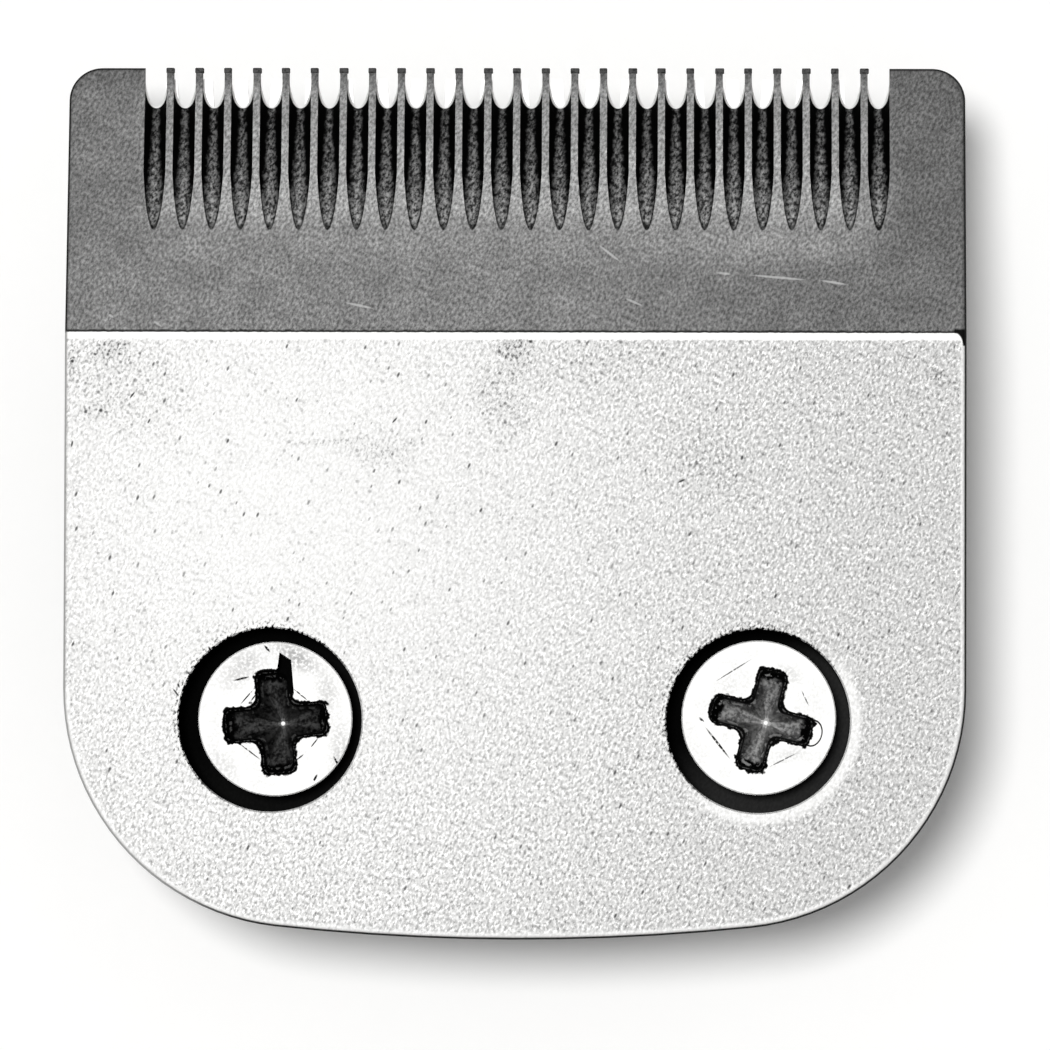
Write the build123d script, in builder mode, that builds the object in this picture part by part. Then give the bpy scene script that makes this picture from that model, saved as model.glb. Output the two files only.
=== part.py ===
from build123d import *
from math import radians, sqrt, tan
import os

# Detachable blade set for a hair clipper, lying on its socket with the skin face up.
# Millimetres. +X runs along the cutter's stroke, +Y towards the tooth tips, +Z up.
# The origin is the bottom centre of the set. A "drop" is a depth below the comb's back face.

# Comb blade: the fixed lower blade that glides on the skin
comb_width = 45.0
comb_length = 43.7
comb_thickness = 2.8
comb_tip_thickness = 0.4
bevel_length = 13.45
front_corner_radius = 1.65
rear_corner_radius = 11.9
rear_edge_radius = 113.0
comb_edge_round = 0.25
comb_hollow_depth = 0.3
comb_front_land = 10.0

# Comb teeth: round-bottomed grooves ground down the bevel until they break through the back
comb_tooth_pitch = 1.452
comb_tooth_width = 0.35
comb_end_land = 3.8
groove_length = 8.35
gap_depth = 1.92
groove_bottom_rise = 0.33

# Cutter blade: slides along X behind the comb
cutter_depth = 18.8
cutter_thickness = 2.3
cutter_tip_thickness = 0.45
cutter_bevel_length = 7.2
cutter_tip_setback = 0.54
cutter_rest_shift = -0.63
cutter_travel = 1.5
cutter_side_margin = 0.3
cutter_corner_radius = 1.2
cutter_hollow_depth = 0.3
cutter_front_land = 7.0
heel_land = 2.6
running_gap = 0.02

# Cutter teeth: tapered slots that leave narrow flat tips
cutter_tooth_pitch = 1.763
cutter_tip_width = 0.52
cutter_flank_angle = 4.2
cutter_slot_depth = 5.4

# Drive fork on the cutter's back, which takes the clipper's driving tip
drive_slot_width = 6.4
drive_prong_width = 2.5
drive_prong_length = 4.6
drive_prong_height = 4.9
drive_prong_inset = 0.6
drive_prong_round = 0.7
drive_prong_chamfer = 0.35

# Blade guide: nylon rail whose feet run in a groove across the cutter's back
guide_setback = 11.0
guide_groove_width = 3.2
guide_groove_depth = 0.8
guide_fit = 0.06
guide_foot_length = 5.8
guide_bar_width = 4.6
guide_bar_thickness = 1.6
guide_bar_gap = 0.25
guide_waist_width = 2.4
guide_peg_diameter = 2.2
guide_peg_rise = 0.6
guide_peg_chamfer = 0.25
guide_pad_round = 0.8

# Tension spring: bent leaf that presses the guide, and so the cutter, against the comb
spring_thickness = 0.8
spring_width = 32.4
spring_arm_width = 6.2
spring_base_margin = 5.6
spring_riser_gap = 0.9
spring_crown_drop = 6.4
spring_crown_lean = 0.7
spring_foot_bend_radius = 1.2
spring_crown_bend_radius = 1.9
spring_toe_bend_radius = 3.0
spring_toe_length = 2.6
spring_corner_radius = 1.5

# Socket: bent sheet channel that slides on the clipper's hinge tongue
socket_height = 9.2
socket_sheet = 1.2
channel_width = 14.0
socket_bend_radius = 0.8
socket_rear_inset = 2.6
socket_front_gap = 1.0
flange_reach = 5.2
flange_margin = 5.2
flange_corner_radius = 2.4
mouth_chamfer = 0.5
detent_hole_diameter = 3.0
detent_hole_setback = 6.2

# Screws: clamp the socket and the spring to the comb
screw_spacing = 24.3
screw_to_rear = 10.9
head_diameter = 7.7
head_height = 1.75
head_edge_chamfer = 0.06
counterbore_diameter = 9.1
counterbore_depth = 1.9
counterbore_chamfer = 0.1
shank_diameter = 3.9
shank_hole_diameter = 4.8
shank_tip_chamfer = 0.4
shank_proud = 0.7
thread_fit = 0.02
collar_wall = 1.0
collar_height = 1.6

# Cross recess of the screws, with each screw's turn and offsets as they were assembled
recess_span = 5.2
left_recess_arm_width = 1.76
right_recess_arm_width = 1.54
recess_wall_depth = 0.9
recess_wall_taper = 0.2
recess_depth = 2.4
recess_point_span = 0.5
recess_point_width = 0.2
recess_point_lean = (0.25, -0.05)
recess_end_radius = 0.4
recess_web_radius = 0.6
left_head_shift = (0.25, 0.05)
right_head_shift = (0.03, 0.17)
left_recess_shift = (0.02, -0.17)
right_recess_shift = (0.14, -0.11)
left_recess_turn = 5.0
right_recess_turn = -14.5

# Slip marks of the screwdriver on the two heads
gouge_depth = 0.7
gouge_foot = 1.35
gouge_reach = 3.45
gouge_lean = 0.48
gouge_shoulder = 3.03
gouge_width = 1.03
slip_depth = 0.1
slip_reach = 0.5
slip_width = 1.34

# Worked-out places along Y
tip_y = comb_length / 2
rear_y = -comb_length / 2
crease_y = tip_y - bevel_length
screw_y = rear_y + screw_to_rear
cutter_tip_y = tip_y - cutter_tip_setback
heel_y = cutter_tip_y - cutter_depth
guide_y = cutter_tip_y - guide_setback
socket_rear_y = rear_y + socket_rear_inset
socket_front_y = heel_y - socket_front_gap
spring_rear_y = screw_y - spring_base_margin
spring_fork_y = screw_y + spring_base_margin

# Worked-out levels: the comb's back face stands on the height of the socket
back_z = socket_height
face_z = back_z + comb_thickness
cutter_back_drop = running_gap + cutter_thickness
guide_floor_drop = cutter_back_drop - guide_groove_depth + running_gap
guide_bar_drop = cutter_back_drop + guide_bar_gap
guide_top_drop = guide_bar_drop + guide_bar_thickness
flange_drop = spring_thickness + socket_sheet
collar_drop = flange_drop + collar_height
head_top_z = face_z - counterbore_depth + head_height


def plan(drop, x=0):
    """Horizontal sketch plane at a drop below the comb's back face."""
    return Plane((x, 0, back_z - drop))


def side(x=0):
    """Upright sketch plane across X, with coordinates (y, drop)."""
    return Plane((x, 0, back_z), x_dir=(0, 1, 0), z_dir=(-1, 0, 0))


def section(y):
    """Upright sketch plane across Y, with coordinates (x, drop)."""
    return Plane((0, y, back_z), x_dir=(1, 0, 0), z_dir=(0, 1, 0))


# Comb blade
toothed_span = comb_width - 2 * comb_end_land
comb_gap_width = comb_tooth_pitch - comb_tooth_width
comb_gap_count = round((toothed_span + comb_tooth_width) / comb_tooth_pitch)
bevel_slope = (comb_thickness - comb_tip_thickness) / bevel_length
groove_top = comb_tip_thickness + bevel_slope * groove_length
groove_run = groove_length - gap_depth
groove_floor = Plane(
    (0, tip_y - groove_length - groove_run, back_z + 2 * groove_top),
    x_dir=(-1, 0, 0),
    z_dir=(0, groove_run, -groove_top),
)
rear_edge_sag = rear_edge_radius - sqrt(rear_edge_radius**2 - (comb_width / 2) ** 2)
screw_holes = [(-screw_spacing / 2, screw_y), (screw_spacing / 2, screw_y)]

with BuildSketch() as groove:
    with BuildLine():
        half_gap = comb_gap_width / 2
        ThreePointArc((-half_gap, groove_bottom_rise), (0, 0), (half_gap, groove_bottom_rise))
        Polyline(
            (half_gap, groove_bottom_rise),
            (half_gap, comb_length),
            (-half_gap, comb_length),
            (-half_gap, groove_bottom_rise),
        )
    make_face()

with BuildPart() as comb_blade:
    with BuildSketch(plan(0)) as outline:
        with BuildLine():
            half = comb_width / 2
            corner_y = rear_y + rear_edge_sag
            Polyline((-half, corner_y), (-half, tip_y), (half, tip_y), (half, corner_y))
            ThreePointArc((half, corner_y), (0, rear_y), (-half, corner_y))
        make_face()
        fillet(outline.vertices().group_by(Axis.Y)[0], rear_corner_radius)
        fillet(outline.vertices().group_by(Axis.Y)[-1], front_corner_radius)
    extrude(amount=comb_thickness)
    with BuildSketch(side()):
        with BuildLine():
            Polyline(
                (crease_y, -comb_thickness),
                (tip_y, -comb_tip_thickness),
                (tip_y, -comb_thickness),
                close=True,
            )
        make_face()
    extrude(amount=comb_width, both=True, mode=Mode.SUBTRACT)
    crease = comb_blade.edges().filter_by(Axis.X).sort_by(Axis.Z)[-1:]
    skin_faces = comb_blade.faces().filter_by(lambda face: face.normal_at().Z > 0.9)
    fillet(skin_faces.edges() - crease, comb_edge_round)
    hollow_rear_y = heel_y + heel_land
    hollow_front_y = tip_y - comb_front_land
    with BuildSketch(plan(0)):
        with Locations((0, (hollow_rear_y + hollow_front_y) / 2)):
            Rectangle(comb_width, hollow_front_y - hollow_rear_y)
    extrude(amount=comb_hollow_depth, mode=Mode.SUBTRACT)
    with BuildSketch(groove_floor):
        with GridLocations(comb_tooth_pitch, 0, comb_gap_count, 1):
            add(groove.sketch)
    extrude(amount=comb_length, mode=Mode.SUBTRACT)
    with Locations(*[(x, y, face_z) for x, y in screw_holes]):
        CounterBoreHole(shank_hole_diameter / 2, counterbore_diameter / 2, counterbore_depth)
    rims = comb_blade.edges().filter_by(GeomType.CIRCLE).group_by(Axis.Z)[-1]
    chamfer(rims.filter_by(lambda rim: rim.is_closed), counterbore_chamfer)
comb_blade.part.label = "comb_blade"

# Cutter blade: its end teeth stay behind the comb's gaps over the whole stroke
cutter_width = toothed_span - 2 * cutter_travel + 2 * cutter_side_margin
slot_mouth = cutter_tooth_pitch - cutter_tip_width
slot_root = slot_mouth - 2 * cutter_slot_depth * tan(radians(cutter_flank_angle))
slot_count = int((cutter_width - cutter_tip_width) / cutter_tooth_pitch) + 2
prong_x = (drive_slot_width + drive_prong_width) / 2

with BuildPart() as cutter_blade:
    with BuildSketch(side(cutter_rest_shift)):
        with BuildLine():
            Polyline(
                (heel_y, running_gap),
                (cutter_tip_y, running_gap),
                (cutter_tip_y, running_gap + cutter_tip_thickness),
                (cutter_tip_y - cutter_bevel_length, cutter_back_drop),
                (heel_y, cutter_back_drop),
                close=True,
            )
        make_face()
    extrude(amount=cutter_width / 2, both=True)
    fillet(cutter_blade.edges().filter_by(Axis.Z).group_by(Axis.Y)[0], cutter_corner_radius)
    contact_rear_y = heel_y + heel_land
    contact_front_y = cutter_tip_y - cutter_front_land
    with BuildSketch(plan(running_gap, cutter_rest_shift)):
        with Locations((0, (contact_rear_y + contact_front_y) / 2)):
            Rectangle(cutter_width, contact_front_y - contact_rear_y)
    extrude(amount=-cutter_hollow_depth, mode=Mode.SUBTRACT)
    with BuildSketch(plan(cutter_back_drop, cutter_rest_shift)):
        with Locations((0, guide_y)):
            Rectangle(cutter_width, guide_groove_width)
    extrude(amount=guide_groove_depth, mode=Mode.SUBTRACT)
    with BuildSketch(plan(0, cutter_rest_shift)):
        with GridLocations(cutter_tooth_pitch, 0, slot_count, 1):
            Polygon(
                (-slot_mouth / 2, cutter_tip_y),
                (-slot_root / 2, cutter_tip_y - cutter_slot_depth),
                (slot_root / 2, cutter_tip_y - cutter_slot_depth),
                (slot_mouth / 2, cutter_tip_y),
                align=None,
            )
    extrude(amount=-2 * cutter_back_drop, mode=Mode.SUBTRACT)
    with BuildSketch(plan(cutter_back_drop, cutter_rest_shift)):
        with Locations((0, heel_y + drive_prong_inset + drive_prong_length / 2)):
            with GridLocations(2 * prong_x, 0, 2, 1):
                RectangleRounded(drive_prong_width, drive_prong_length, drive_prong_round)
    prongs = extrude(amount=-drive_prong_height)
    chamfer(prongs.faces().group_by(Axis.Z)[0].edges(), drive_prong_chamfer)
cutter_blade.part.label = "cutter_blade"

# Blade guide
arm_x = (spring_width - spring_arm_width) / 2

with BuildPart() as blade_guide:
    with BuildSketch(plan(guide_top_drop)):
        with Locations((0, guide_y)):
            Rectangle(2 * arm_x, guide_waist_width)
            with GridLocations(2 * arm_x, 0, 2, 1):
                RectangleRounded(guide_foot_length, guide_bar_width, guide_pad_round)
    extrude(amount=guide_bar_thickness)
    with BuildSketch(plan(guide_bar_drop)):
        with Locations((0, guide_y)):
            with GridLocations(2 * arm_x, 0, 2, 1):
                Rectangle(guide_foot_length, guide_groove_width - 2 * guide_fit)
    extrude(amount=guide_bar_drop - guide_floor_drop)
    with BuildSketch(plan(guide_top_drop)):
        with Locations((0, guide_y)):
            with GridLocations(2 * arm_x, 0, 2, 1):
                Circle(guide_peg_diameter / 2)
    pegs = extrude(amount=-spring_thickness - guide_peg_rise)
    chamfer(pegs.faces().group_by(Axis.Z)[0].edges(), guide_peg_chamfer)
blade_guide.part.label = "blade_guide"

# Tension spring
riser_y = heel_y - spring_riser_gap - spring_thickness / 2
seat_drop = guide_top_drop + spring_thickness / 2
toe_y = guide_y - guide_bar_width / 2

with BuildPart() as tension_spring:
    with BuildSketch(side()):
        with BuildLine():
            FilletPolyline(
                (spring_rear_y, spring_thickness / 2),
                (riser_y, spring_thickness / 2),
                (riser_y + spring_crown_lean, spring_crown_drop),
                (toe_y, seat_drop),
                (guide_y + spring_toe_length, seat_drop),
                radius=[spring_foot_bend_radius, spring_crown_bend_radius, spring_toe_bend_radius],
            )
        trace(line_width=spring_thickness)
    extrude(amount=spring_width / 2, both=True)
    fork_width = spring_width - 2 * spring_arm_width
    fork_length = guide_y + 2 * spring_toe_length - spring_fork_y
    with BuildSketch(plan(socket_height)):
        with Locations((0, spring_fork_y + fork_length / 2)):
            RectangleRounded(fork_width, fork_length, spring_corner_radius)
    extrude(amount=socket_height, mode=Mode.SUBTRACT)
    corners = tension_spring.edges().filter_by(Axis.Z)
    fillet(corners.group_by(Axis.Y)[0] + corners.group_by(Axis.Y)[-1], spring_corner_radius)
    with Locations(*[(x, y, back_z) for x, y in screw_holes]):
        Hole(shank_hole_diameter / 2)
    with Locations((-arm_x, guide_y, back_z), (arm_x, guide_y, back_z)):
        Hole(guide_peg_diameter / 2 + guide_fit)
tension_spring.part.label = "tension_spring"

# Socket
wall_x = (channel_width + socket_sheet) / 2
flange_end_x = screw_spacing / 2 + flange_reach
flange_mid_drop = flange_drop - socket_sheet / 2
bridge_mid_drop = socket_height - socket_sheet / 2
socket_length = socket_front_y - socket_rear_y
flange_length = 2 * flange_margin
wall_foot_drop = flange_drop + socket_bend_radius
left_screw_at = (-screw_spacing / 2 + left_head_shift[0], screw_y + left_head_shift[1])
right_screw_at = (screw_spacing / 2 + right_head_shift[0], screw_y + right_head_shift[1])

with BuildPart() as socket:
    with BuildSketch(section(socket_rear_y)):
        with BuildLine():
            FilletPolyline(
                (-flange_end_x, flange_mid_drop),
                (-wall_x, flange_mid_drop),
                (-wall_x, bridge_mid_drop),
                (wall_x, bridge_mid_drop),
                (wall_x, flange_mid_drop),
                (flange_end_x, flange_mid_drop),
                radius=socket_bend_radius + socket_sheet / 2,
            )
        trace(line_width=socket_sheet)
    extrude(amount=socket_length)
    with BuildSketch(plan(0)):
        with Locations((0, socket_rear_y + socket_length / 2)):
            Rectangle(2 * flange_end_x, socket_length)
        with Locations((0, screw_y)):
            Rectangle(2 * flange_end_x, flange_length, mode=Mode.SUBTRACT)
    extrude(amount=-wall_foot_drop, mode=Mode.SUBTRACT)
    corners = socket.edges().filter_by(Axis.Z)
    fillet(corners.group_by(Axis.X)[0] + corners.group_by(Axis.X)[-1], flange_corner_radius)
    with Locations((0, socket_rear_y + detent_hole_setback, back_z)):
        Hole(detent_hole_diameter / 2)
    mouth = socket.edges().filter_by(Axis.X).group_by(Axis.Y)[0].sort_by(Axis.Z)[1]
    chamfer(mouth, mouth_chamfer)
    with BuildSketch(plan(flange_drop)):
        with Locations(left_screw_at, right_screw_at):
            Circle(shank_diameter / 2 + collar_wall)
    extrude(amount=-collar_height)
    with Locations((*left_screw_at, back_z), (*right_screw_at, back_z)):
        Hole(shank_diameter / 2 + thread_fit)
socket.part.label = "socket"

# Screws
shank_tip_z = back_z - collar_drop - shank_proud

with BuildSketch() as gouge:
    Polygon(
        (0, gouge_foot),
        (gouge_lean, gouge_reach),
        (gouge_width, gouge_shoulder),
        (gouge_width, gouge_foot),
        align=None,
    )
with BuildSketch() as slip:
    with Locations((recess_span / 2, 0)):
        Ellipse(slip_reach, slip_width / 2)


def screw(label, centre, recess_shift, recess_turn, arm_width, mark, mark_depth):
    """Cheese-head screw with a tapered cross recess and the screwdriver's slip mark."""
    x, y = centre
    recess_levels = [
        (0, (0, 0), recess_span, arm_width),
        (recess_wall_depth, (0, 0), recess_span - 2 * recess_wall_taper, arm_width - 2 * recess_wall_taper),
        (recess_depth, recess_point_lean, recess_point_span, recess_point_width),
    ]
    recess = Plane((x + recess_shift[0], y + recess_shift[1], head_top_z)).rotated((0, 0, recess_turn))
    with BuildPart() as body:
        with BuildSketch(Plane((x, y, head_top_z))):
            Circle(head_diameter / 2)
        extrude(amount=-head_height)
        chamfer(body.edges().group_by(Axis.Z)[-1], head_edge_chamfer)
        with BuildSketch(Plane((x, y, shank_tip_z))):
            Circle(shank_diameter / 2)
        extrude(amount=head_top_z - head_height - shank_tip_z)
        chamfer(body.edges().group_by(Axis.Z)[0], shank_tip_chamfer)
        for depth, lean, span, width in recess_levels:
            with BuildSketch(recess.offset(-depth)) as cross:
                with Locations(lean):
                    Rectangle(span, width)
                    Rectangle(width, span)
                centre_point = cross.face().center()
                narrowing = width / arm_width
                fillet(cross.vertices().sort_by_distance(centre_point)[:4], recess_web_radius * narrowing)
                fillet(cross.vertices().sort_by_distance(centre_point)[-8:], recess_end_radius * narrowing)
        loft(ruled=True, mode=Mode.SUBTRACT)
        with BuildSketch(recess):
            add(mark.sketch)
        extrude(amount=-mark_depth, mode=Mode.SUBTRACT)
    body.part.label = label
    return body


screw_left = screw(
    "screw_left",
    left_screw_at,
    left_recess_shift,
    left_recess_turn,
    left_recess_arm_width,
    gouge,
    gouge_depth,
)
screw_right = screw(
    "screw_right",
    right_screw_at,
    right_recess_shift,
    right_recess_turn,
    right_recess_arm_width,
    slip,
    slip_depth,
)

os.makedirs("parts", exist_ok=True)
for piece in (comb_blade, cutter_blade, blade_guide, tension_spring, socket, screw_left, screw_right):
    export_step(piece.part, f"parts/{piece.part.label}.step")
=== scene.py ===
import math
from typing import NamedTuple

import bmesh
import bpy
from mathutils import Matrix, Vector


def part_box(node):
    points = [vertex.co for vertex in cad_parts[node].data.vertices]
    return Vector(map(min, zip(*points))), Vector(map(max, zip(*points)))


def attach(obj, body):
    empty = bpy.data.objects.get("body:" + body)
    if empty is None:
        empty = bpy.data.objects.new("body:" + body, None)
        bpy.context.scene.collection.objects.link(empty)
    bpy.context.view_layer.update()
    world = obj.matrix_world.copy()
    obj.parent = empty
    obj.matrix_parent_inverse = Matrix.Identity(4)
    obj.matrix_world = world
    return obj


# Looks of a detachable hair clipper blade set that lies with its skin face up.
# Scene lengths are metres. Material sizes are millimetres of the same frame.
# Tones are display greys from 0 to 255. Slopes and turns of marks are degrees, and strengths are shares.

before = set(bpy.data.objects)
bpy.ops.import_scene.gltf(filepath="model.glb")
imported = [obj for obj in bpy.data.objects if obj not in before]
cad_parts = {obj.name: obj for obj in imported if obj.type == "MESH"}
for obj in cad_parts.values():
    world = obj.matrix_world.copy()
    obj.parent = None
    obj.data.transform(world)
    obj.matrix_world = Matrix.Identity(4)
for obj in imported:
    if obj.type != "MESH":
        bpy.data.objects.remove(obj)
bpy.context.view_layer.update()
MM = 0.001

# Places on the comb blade
comb_low, comb_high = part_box("comb_blade")
FACE_Z = comb_high.z / MM
BACK_Z = comb_low.z / MM
TIP_Y = comb_high.y / MM
REAR_Y = comb_low.y / MM
HALF_WIDTH = comb_high.x / MM
FACE_SLACK = 0.001
comb_points = [vertex.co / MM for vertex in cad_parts["comb_blade"].data.vertices]
CREASE_Y = max(point.y for point in comb_points if point.z > FACE_Z - FACE_SLACK)
BEVEL_DROP = 2.4
BEVEL_SLOPE = BEVEL_DROP / (TIP_Y - CREASE_Y)
REAR_RADIUS = 113.0
CORNER_RADIUS = 11.9
TOOTHED_HALF = 18.7
TOOTH_PITCH = 1.452
TOOTH_COUNT = 25
GROOVE_START = 5.0
BORE_X = 12.15
BORE_Y = -10.95
BORE_RADIUS = 4.55

# Tint of bare metal and of paper
NEUTRAL = (1.0, 0.998, 0.99)


def grey(level):
    """Linear tone of a display grey, by the sRGB curve."""
    value = level / 255
    return value / 12.92 if value < 0.04045 else ((value + 0.055) / 1.055) ** 2.4


class Finish:
    """One material: a Principled shader and the nodes that feed it, in millimetres of the part's frame."""

    def __init__(self, name):
        self.material = bpy.data.materials.new(name)
        self.material.use_nodes = True
        self.nodes = self.material.node_tree.nodes
        self.links = self.material.node_tree.links
        self.shader = self.nodes["Principled BSDF"]
        source = self.nodes.new("ShaderNodeTexCoord")
        self.place = self.vector("SCALE", source.outputs["Object"], factor=1 / MM)
        self.flat = self.vector("MULTIPLY", self.place, (1.0, 1.0, 0.0))
        self.x, self.y, self.z = self.split(self.place)
        self.slant_x, self.slant_y, self.slant_z = self.split(source.outputs["Normal"])

    def feed(self, socket, value):
        """Links a socket to another node, or writes a plain value in it."""
        if isinstance(value, bpy.types.NodeSocket):
            self.links.new(value, socket)
        else:
            socket.default_value = value

    def split(self, vector):
        """The three parts of a vector."""
        node = self.nodes.new("ShaderNodeSeparateXYZ")
        self.feed(node.inputs[0], vector)
        return node.outputs

    def joined(self, x, y):
        """A vector in plan."""
        node = self.nodes.new("ShaderNodeCombineXYZ")
        self.feed(node.inputs[0], x)
        self.feed(node.inputs[1], y)
        return node.outputs[0]

    def vector(self, operation, *values, factor=None):
        """Result of a Vector Math node: a number for a length, a distance or a dot product."""
        node = self.nodes.new("ShaderNodeVectorMath")
        node.operation = operation
        for socket, value in zip(node.inputs, values):
            self.feed(socket, value)
        if factor is not None:
            self.feed(node.inputs["Scale"], factor)
        is_number = operation in ("LENGTH", "DISTANCE", "DOT_PRODUCT")
        return node.outputs["Value" if is_number else "Vector"]

    def math(self, operation, *values):
        """Result of a Math node."""
        node = self.nodes.new("ShaderNodeMath")
        node.operation = operation
        for socket, value in zip(node.inputs, values):
            self.feed(socket, value)
        return node.outputs[0]

    def ramp(self, value, low, high, start=0.0, end=1.0):
        """Smooth change from start to end as a value goes from low to high."""
        node = self.nodes.new("ShaderNodeMapRange")
        node.interpolation_type = "SMOOTHSTEP"
        for socket, number in zip(node.inputs, (value, low, high, start, end)):
            self.feed(socket, number)
        return node.outputs[0]

    def both(self, *masks):
        """Product of masks."""
        result = masks[0]
        for mask in masks[1:]:
            result = self.math("MULTIPLY", result, mask)
        return result

    def inverse(self, mask):
        """A mask that is 1 where the given one is 0."""
        return self.math("SUBTRACT", 1.0, mask)

    def mix(self, mask, low, high):
        """Blend of two tones: low where the mask is 0, high where it is 1."""
        node = self.nodes.new("ShaderNodeMix")
        self.feed(node.inputs[0], mask)
        self.feed(node.inputs[2], low)
        self.feed(node.inputs[3], high)
        return node.outputs[0]

    def shade(self, tone, mask, strength):
        """A tone made darker by a mask, or lighter where the strength is negative."""
        return self.math("MULTIPLY", tone, self.math("MULTIPLY_ADD", mask, -strength, 1.0))

    def centred(self, noise):
        """A noise that swings about 0."""
        return self.math("SUBTRACT", noise, 0.5)

    def wavy(self, value, noise, swing):
        """A value that a noise moves by up to half a swing each way."""
        return self.math("MULTIPLY_ADD", self.centred(noise), swing, value)

    def stretched(self, lengths, turn=0.0, centre=(0.0, 0.0)):
        """Plan coordinates from a centre, turned by radians, and divided by a length along each axis."""
        start = Vector((*centre, 0.0))
        if not turn:
            shares = Vector((1 / lengths[0], 1 / lengths[1], 0.0))
            return self.vector("MULTIPLY_ADD", self.flat, shares, -start * shares)
        along = Vector((math.cos(turn), math.sin(turn), 0.0)) / lengths[0]
        across = Vector((-math.sin(turn), math.cos(turn), 0.0)) / lengths[1]
        turned = self.joined(*(self.vector("DOT_PRODUCT", self.flat, axis) for axis in (along, across)))
        if not start.length:
            return turned
        return self.vector("SUBTRACT", turned, (start.dot(along), start.dot(across), 0.0))

    def blob(self, centre, radii, slope=0.0, strength=1.0):
        """Soft oval mask in plan: full at its centre, 0 at its radii, its first axis at a slope."""
        reach = self.vector("LENGTH", self.stretched(radii, math.radians(slope), centre))
        return self.ramp(reach, 1.0, 0.0, end=strength)

    def strokes(self, marks, half_width):
        """Thin straight scratches, each given by its centre, half length and slope."""
        core = 0.45
        nearest = 1.0
        for x, y, half_length, slope in marks:
            place = self.stretched((half_length, half_width), math.radians(slope), (x, y))
            nearest = self.math("MINIMUM", nearest, self.vector("LENGTH", place))
        return self.ramp(nearest, 1.0, core)

    def noise(self, grain, detail=2.0, where=None, rough=0.5, solid=False):
        """Cloudy noise whose blotches are about grain millimetres wide, in plan or through the solid."""
        node = self.nodes.new("ShaderNodeTexNoise")
        node.noise_dimensions = "3D" if solid else "2D"
        if where is None:
            where = self.place if solid else self.flat
        self.feed(node.inputs["Vector"], where)
        node.inputs["Scale"].default_value = 1 / grain
        node.inputs["Detail"].default_value = detail
        node.inputs["Roughness"].default_value = rough
        return node.outputs[0]

    def specks(self, spacing, radius, share, where=None):
        """Dots of uneven size, up to a radius, in a share of the cells of a grid of that spacing."""
        smallest = 0.3
        core = 0.3
        faintest = 0.4
        node = self.nodes.new("ShaderNodeTexVoronoi")
        node.voronoi_dimensions = "2D"
        self.feed(node.inputs["Vector"], self.flat if where is None else where)
        node.inputs["Scale"].default_value = 1 / spacing
        chance, size, _ = self.split(node.outputs["Color"])
        largest = radius / spacing
        reach = self.math("MULTIPLY_ADD", size, (1 - smallest) * largest, smallest * largest)
        dot = self.ramp(self.math("DIVIDE", node.outputs["Distance"], reach), 1.0, core)
        chosen = self.math("LESS_THAN", chance, share)
        return self.both(dot, chosen, self.ramp(size, 0.0, 1.0, start=faintest))

    def bump(self, height, depth):
        """Bump of a 0 to 1 height that is depth millimetres high."""
        node = self.nodes.new("ShaderNodeBump")
        node.inputs["Distance"].default_value = depth * MM
        self.feed(node.inputs["Height"], height)
        self.links.new(node.outputs[0], self.shader.inputs["Normal"])

    def finish(self, tone, tint, metallic, roughness):
        """The material, with a tinted tone as its colour."""
        colour = self.nodes.new("ShaderNodeCombineColor")
        for socket, share in zip(colour.inputs, tint):
            self.feed(socket, self.math("MULTIPLY", tone, share))
        self.feed(self.shader.inputs["Base Color"], colour.outputs[0])
        self.feed(self.shader.inputs["Metallic"], metallic)
        self.feed(self.shader.inputs["Roughness"], roughness)
        return self.material


# Noise on the comb: widths of its grain, ragged edges and clouds, and the grain's stretch and direction
GRAIN_SIZE = 0.135
GRAIN_STRETCH = (1.5, 1.0)
GRAIN_TURN = math.radians(66)
RAGGED_SIZE = 0.3
CLOUD_SIZE = 1.5


class CombFinish(Finish):
    """Material of the comb, with its noise and the distances that place its marks."""

    def __init__(self, name):
        super().__init__(name)
        self.fine = self.noise(GRAIN_SIZE, where=self.stretched(GRAIN_STRETCH, GRAIN_TURN), rough=0.6)
        self.ragged = self.noise(RAGGED_SIZE, solid=True)
        self.cloud = self.noise(CLOUD_SIZE, detail=3.0)
        self.across = self.math("ABSOLUTE", self.x)
        self.past = self.math("SUBTRACT", self.y, CREASE_Y)
        bevel_z = self.math("SUBTRACT", FACE_Z, self.math("MULTIPLY", self.past, BEVEL_SLOPE))
        self.depth = self.math("SUBTRACT", self.math("MINIMUM", bevel_z, FACE_Z), self.z)
        self.bore_x = self.math("MULTIPLY_ADD", self.math("SIGN", self.x), -BORE_X, self.x)
        self.bore_y = self.math("SUBTRACT", self.y, BORE_Y)
        self.bore_reach = self.vector("LENGTH", self.joined(self.bore_x, self.bore_y))


# Plated face: its tones, the brighter one a painted sheen, and how far grain and marks change them
FACE_DULL = 218
FACE_SHEEN = 243
FACE_GRAIN = 1.35
SMOOTHED_GRAIN = 0.12
FACE_CLOUD = 0.08
STAIN_SHADE = 0.16
STAIN_GRAIN = 0.65
PIT_SHADE = 0.85
TICK_SHADE = 0.8
TICK_STRETCH = (2.2, 1.0)
NICK_SHADE = 0.85
NICK_HALF_WIDTH = 0.06
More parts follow.
